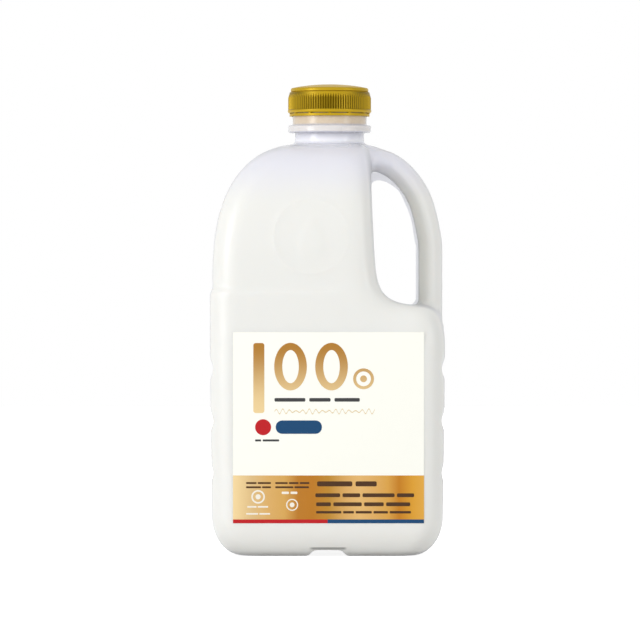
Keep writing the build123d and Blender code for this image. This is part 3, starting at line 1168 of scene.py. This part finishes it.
@dataclass
class Studio:
    """The floor, the lamps, the light all round and the camera."""

    distance: float = 3.6
    across: float = -3.76 * MM
    height: float = 118.3 * MM
    lens: float = 399.0
    sensor: float = 36.0
    around: float = 1.22
    less_overhead: float = 0.52
    less_aside: float = 0.5
    floor_size: float = 12.0
    floor_drop: float = 0.2 * MM
    floor_grey: float = 0.65
    floor_glow: float = 0.86
    aim: tuple[float, float, float] = (0.0, 0.0, 0.12)
    softboxes: tuple[Softbox, ...] = (
        Softbox("softbox_left", (-1.05, -0.75, 0.5), (0.42, 0.9), 7.2),
        Softbox("softbox_right", (1.1, -0.8, 0.45), (0.16, 0.8), 2.2),
    )
    snoot_place: tuple[float, float, float] = (1.05, -0.78, 0.55)
    snoot_watts: float = 14.0
    snoot_radius: float = 0.09
    snoot_degrees: float = 3.4

    def camera(self) -> None:
        """A level camera in front of the jug."""
        bpy.ops.object.camera_add(
            location=(self.across, -self.distance, self.height), rotation=(math.pi / 2, 0, 0)
        )
        camera = bpy.context.active_object
        camera.data.lens = self.lens
        camera.data.sensor_width = self.sensor
        camera.data.clip_end = 50.0
        bpy.context.scene.camera = camera

    def lamp(self, softbox: Softbox) -> None:
        """Put up a softbox, aimed at the jug's middle."""
        bpy.ops.object.light_add(type="AREA", location=softbox.place)
        lamp = bpy.context.active_object
        lamp.name = softbox.name
        lamp.data.shape = "RECTANGLE"
        lamp.data.size, lamp.data.size_y = softbox.size
        lamp.data.energy = softbox.watts
        aim = Vector(self.aim) - Vector(softbox.place)
        lamp.rotation_euler = aim.to_track_quat("-Z", "Y").to_euler()

    def snoot(self) -> None:
        """Put up a narrow soft spot, aimed at the neck and the cap."""
        bpy.ops.object.light_add(type="SPOT", location=self.snoot_place)
        spot = bpy.context.active_object
        spot.name = "snoot_right"
        spot.data.energy = self.snoot_watts
        spot.data.shadow_soft_size = self.snoot_radius
        spot.data.spot_size = math.radians(self.snoot_degrees)
        spot.data.spot_blend = 0.8
        aim = Vector((0, 0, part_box("cap")[0].z)) - Vector(self.snoot_place)
        spot.rotation_euler = aim.to_track_quat("-Z", "Y").to_euler()

    def floor(self) -> None:
        """A pale floor that keeps a soft shadow and looks as white as the background."""
        deselect_all()
        bpy.ops.mesh.primitive_plane_add(size=self.floor_size, location=(0, 0, -self.floor_drop))
        floor = bpy.context.active_object
        floor.name = "studio_floor"
        material = bpy.data.materials.new("studio_floor")
        material.use_nodes = True
        sheet = Sheet(material.node_tree)
        shader = material.node_tree.nodes["Principled BSDF"]
        shader.inputs["Base Color"].default_value = (*[self.floor_grey] * 3, 1)
        shader.inputs["Roughness"].default_value = 1.0
        shader.inputs["Specular IOR Level"].default_value = 0.0
        shader.inputs["Emission Color"].default_value = (1, 1, 1, 1)
        path = sheet.add("ShaderNodeLightPath")
        seen = sheet.maths("MAXIMUM", path.outputs["Is Camera Ray"], path.outputs["Is Glossy Ray"])
        seen = sheet.maths("MAXIMUM", seen, path.outputs["Is Transmission Ray"])
        glow = sheet.maths("MULTIPLY", seen, self.floor_glow)
        sheet.join(glow, shader.inputs["Emission Strength"])
        floor.data.materials.append(material)

    def world(self) -> None:
        """Soft grey light from all round, and a white background to the eye."""
        world = bpy.data.worlds.new("studio")
        bpy.context.scene.world = world
        world.use_nodes = True
        sheet = Sheet(world.node_tree)
        back = world.node_tree.nodes["Background"]
        path = sheet.add("ShaderNodeLightPath")
        seen = sheet.maths("MAXIMUM", path.outputs["Is Camera Ray"], path.outputs["Is Transmission Ray"])
        split = sheet.add("ShaderNodeSeparateXYZ")
        sheet.join(sheet.add("ShaderNodeTexCoord").outputs["Generated"], split.inputs[0])
        overhead = sheet.maths("MULTIPLY", sheet.ramp(split.outputs[2], 0.0, 1.0), self.less_overhead)
        aside = sheet.maths("MULTIPLY", split.outputs[0], split.outputs[0])
        aside = sheet.maths("MULTIPLY", aside, self.less_aside)
        around = sheet.maths("SUBTRACT", sheet.maths("SUBTRACT", self.around, overhead), aside)
        level = sheet.add("ShaderNodeMapRange")
        sheet.join(seen, level.inputs["Value"])
        sheet.join(around, level.inputs["To Min"])
        level.inputs["To Max"].default_value = 1.0
        back.inputs["Color"].default_value = (1, 1, 1, 1)
        sheet.join(level.outputs["Result"], back.inputs["Strength"])

    def build(self) -> None:
        """Set up the whole studio."""
        self.camera()
        self.floor()
        self.world()
        for softbox in self.softboxes:
            self.lamp(softbox)
        self.snoot()
        bpy.context.scene.view_settings.view_transform = "Standard"


def main() -> None:
    """Build every piece in order."""
    logging.basicConfig(level=logging.INFO, format="%(message)s")
    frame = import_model()
    nodes = frame["nodes"]
    milk_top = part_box("milk")[1].z
    cap_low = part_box("cap")[0].z
    Studio().build()
    neck = Neck()
    polyethylene = PolyethyleneFinish(milk_top, cap_low - neck.ring_below_cap, neck.ring_height)
    blowing = Blowing()
    JugSkin(blowing).build(nodes["jug"], polyethylene)
    neck.build(polyethylene)
    MilkFill(blowing).build(nodes["milk"])
    ScrewCap().build(nodes["cap"])
    Label(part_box("label")[0].y / MM).build()


if __name__ == "__main__":
    main()
